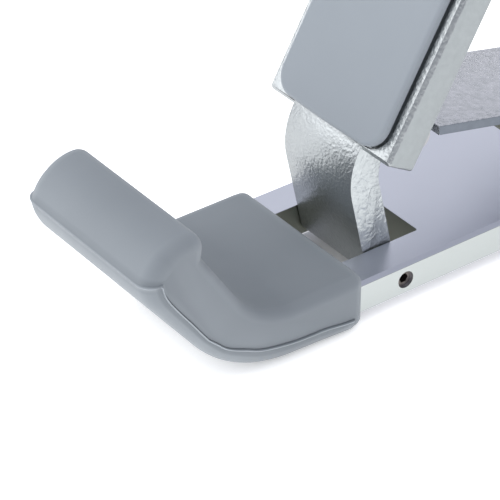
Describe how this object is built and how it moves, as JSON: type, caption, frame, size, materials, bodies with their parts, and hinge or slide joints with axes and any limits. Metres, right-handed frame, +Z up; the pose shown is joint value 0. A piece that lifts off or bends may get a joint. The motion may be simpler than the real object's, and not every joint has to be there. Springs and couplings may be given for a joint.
{
  "type": "laptop stand",
  "caption": "Folding easel-type laptop stand: hooked aluminium base rails with silicone boots, padded support arms that lean back, and sliding prop arms.",
  "frame": {"origin": "on the desk, at the bottom centre of the whole stand's box, midway between the two legs", "axes": "+X across the stand to the user's right leg, +Y from the hooks towards the back, +Z up from the desk"},
  "size_m": [0.2236, 0.2566, 0.1808],
  "materials": {
    "anodised_aluminium": "bead-blasted and clear anodised, satin",
    "cast_aluminium": "die-cast, shot-blasted, fine pebbled grain",
    "grey_silicone": "moulded silicone, satin matt",
    "steel_pin": "ground steel",
    "dark_steel_screw": "black-oxide screw, worn",
    "sintered_bronze": "sintered, oil-filled",
    "black_acetal": "turned acetal"
  },
  "bodies": {
    "base": {"left_base_rail": "anodised_aluminium", "right_base_rail": "anodised_aluminium", "left_hook_sleeve": "grey_silicone", "right_hook_sleeve": "grey_silicone", "left_pivot_pin": "steel_pin", "right_pivot_pin": "steel_pin", "left_pivot_shims": "steel_pin", "right_pivot_shims": "steel_pin", "left_rear_foot": "grey_silicone", "right_rear_foot": "grey_silicone", "rear_cross_bar": "anodised_aluminium", "pivot_grub_screws": "dark_steel_screw", "rear_bar_screws": "dark_steel_screw"},
    "backrest": {"left_support_arm": "cast_aluminium", "right_support_arm": "cast_aluminium", "left_support_pad": "grey_silicone", "right_support_pad": "grey_silicone", "left_pivot_bushes": "sintered_bronze", "right_pivot_bushes": "sintered_bronze", "left_prop_hinge_pin": "steel_pin", "right_prop_hinge_pin": "steel_pin", "left_prop_pin_clips": "steel_pin", "right_prop_pin_clips": "steel_pin", "top_cross_bar": "anodised_aluminium", "top_bar_screws": "dark_steel_screw"},
    "left_prop": {"left_prop_arm": "cast_aluminium", "left_foot_pin": "steel_pin", "left_guide_shoes": "black_acetal"},
    "right_prop": {"right_prop_arm": "cast_aluminium", "right_foot_pin": "steel_pin", "right_guide_shoes": "black_acetal"}
  },
  "joints": [
    {"name": "backrest_fold", "type": "hinge", "parent": "base", "child": "backrest", "pos_m": [0, -0.0615, 0.0064], "axis": [-1, 0, 0], "range_deg": [0, 60]},
    {"name": "left_prop_swing", "type": "hinge", "parent": "backrest", "child": "left_prop", "pos_m": [-0.09, -0.05382, 0.03546], "axis": [1, 0, 0], "range_deg": [0, 73]},
    {"name": "right_prop_swing", "type": "hinge", "parent": "backrest", "child": "right_prop", "pos_m": [0.09, -0.05382, 0.03546], "axis": [1, 0, 0], "range_deg": [0, 73]}
  ],
  "couplings": [
    {"joint": "left_prop_swing", "follows": "backrest_fold", "ratio": 1.2145},
    {"joint": "right_prop_swing", "follows": "backrest_fold", "ratio": 1.2145}
  ]
}
